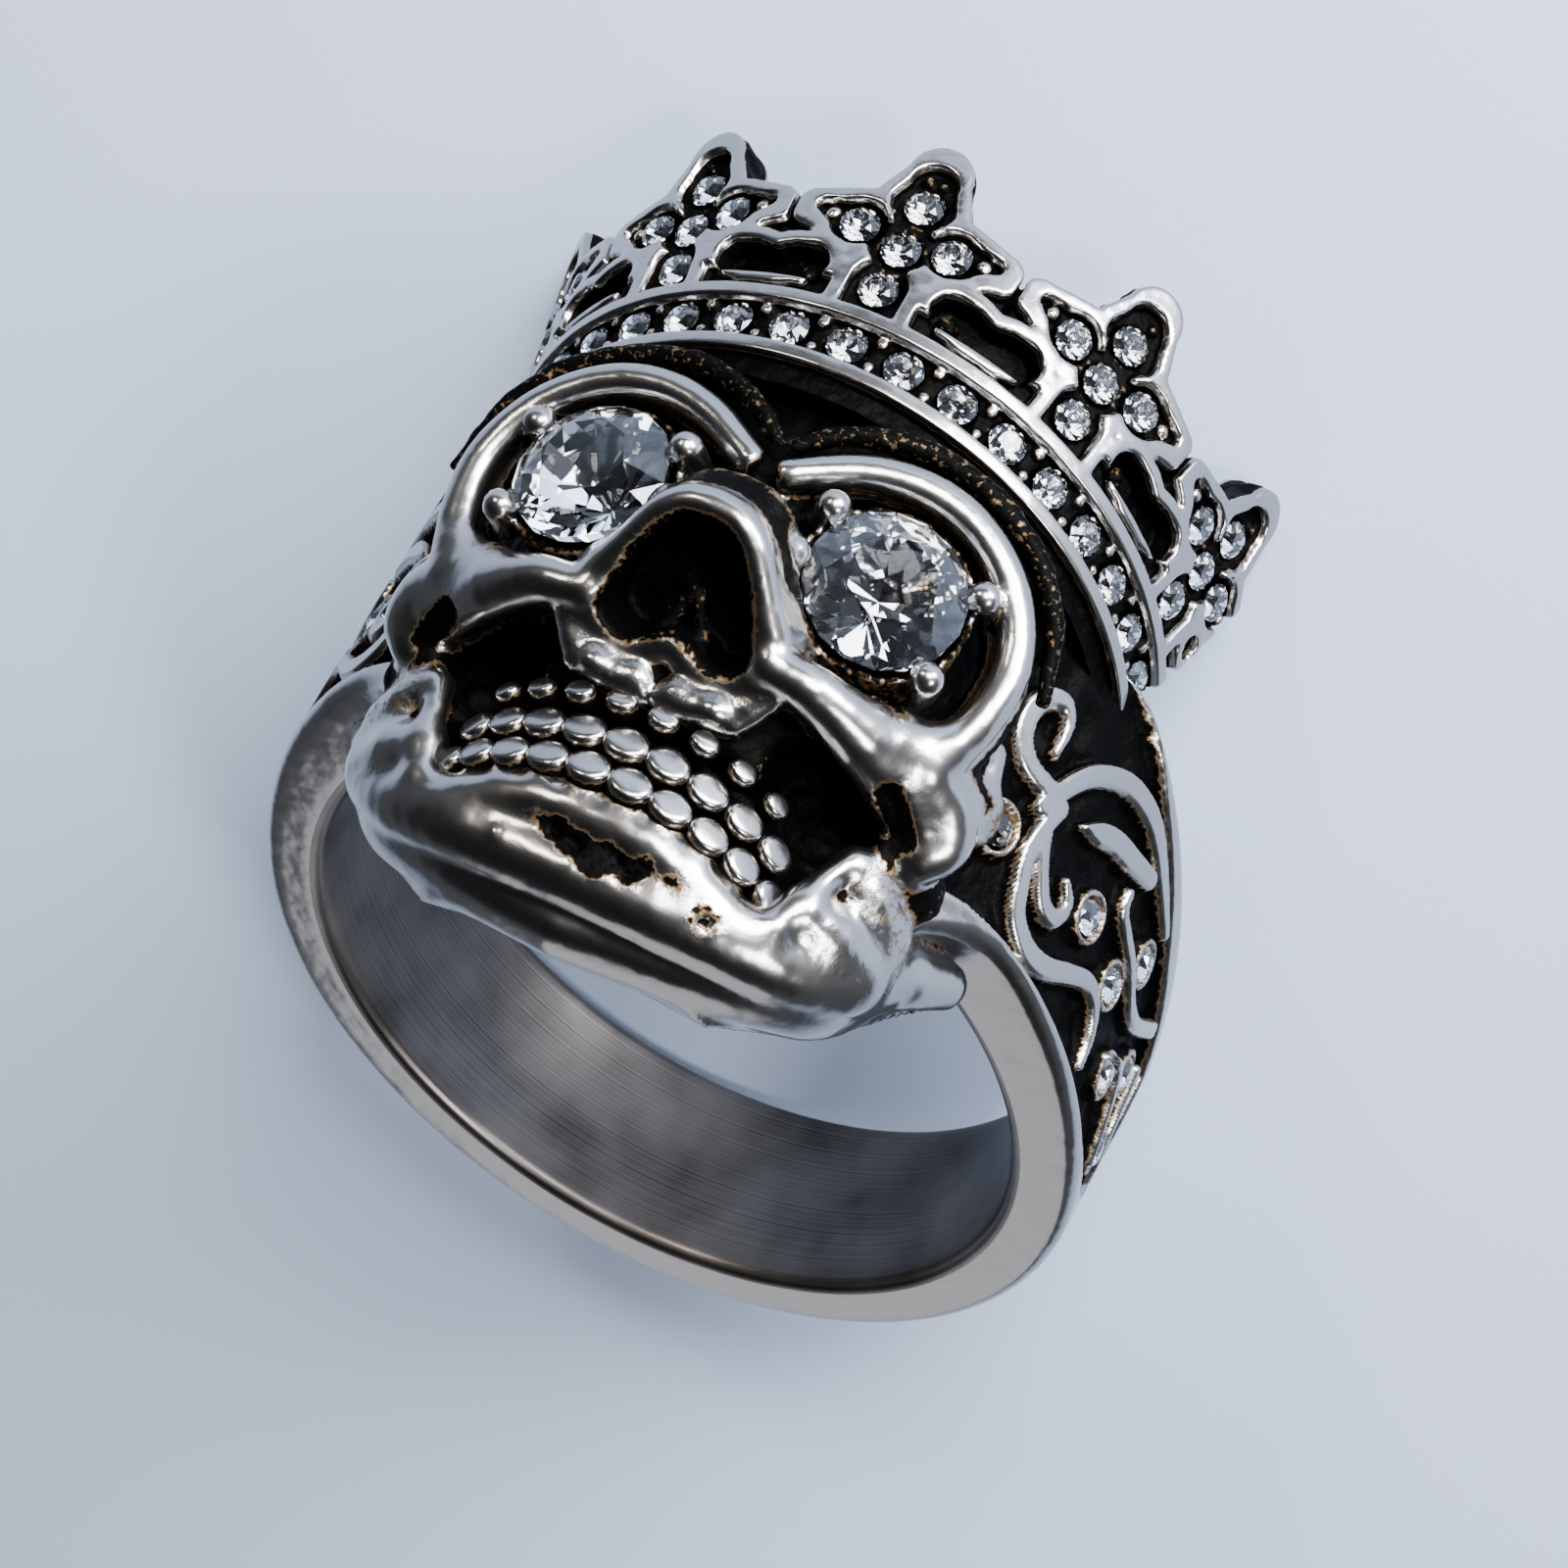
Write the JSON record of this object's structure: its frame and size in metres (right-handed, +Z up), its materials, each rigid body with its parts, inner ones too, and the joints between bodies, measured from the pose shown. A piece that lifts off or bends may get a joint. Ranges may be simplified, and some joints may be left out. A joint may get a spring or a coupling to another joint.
{
  "type": "skull ring",
  "caption": "Cast steel finger ring shaped as a skull with a tall trefoil crown, scrolled shoulders and faceted glass stones in the eyes, crown and shoulders.",
  "frame": {"origin": "bottom centre of the bounding box, on the surface that the ring lies on", "axes": "+Z up from that surface; the ring lies on the tips of its crown's two outer spikes and the crown-side rim of its band; -Y is the side of the face, +Y the palm side of the band; the finger's axis leans 19 degrees from Z in the YZ plane, and the chin side is uppermost"},
  "size_m": [0.0246, 0.035, 0.0195],
  "materials": {
    "ring_steel": "polished cast stainless steel, black antiqued recesses, satin bore",
    "glass_stone": "clear faceted glass with a foil back"
  },
  "bodies": {
    "root": {"ring_body": "ring_steel", "eye_stone_left": "glass_stone", "eye_stone_right": "glass_stone", "crown_stone_01": "glass_stone", "crown_stone_02": "glass_stone", "crown_stone_03": "glass_stone", "crown_stone_04": "glass_stone", "crown_stone_05": "glass_stone", "crown_stone_06": "glass_stone", "crown_stone_07": "glass_stone", "crown_stone_08": "glass_stone", "crown_stone_09": "glass_stone", "crown_stone_10": "glass_stone", "crown_stone_11": "glass_stone", "crown_stone_12": "glass_stone", "crown_stone_13": "glass_stone", "crown_stone_14": "glass_stone", "crown_stone_15": "glass_stone", "crown_stone_16": "glass_stone", "crown_stone_17": "glass_stone", "spike_stones_1": "glass_stone", "spike_stones_2": "glass_stone", "spike_stones_3": "glass_stone", "spike_stones_4": "glass_stone", "spike_stones_5": "glass_stone", "shoulder_stones_left": "glass_stone", "shoulder_stones_right": "glass_stone"}
  },
  "joints": []
}
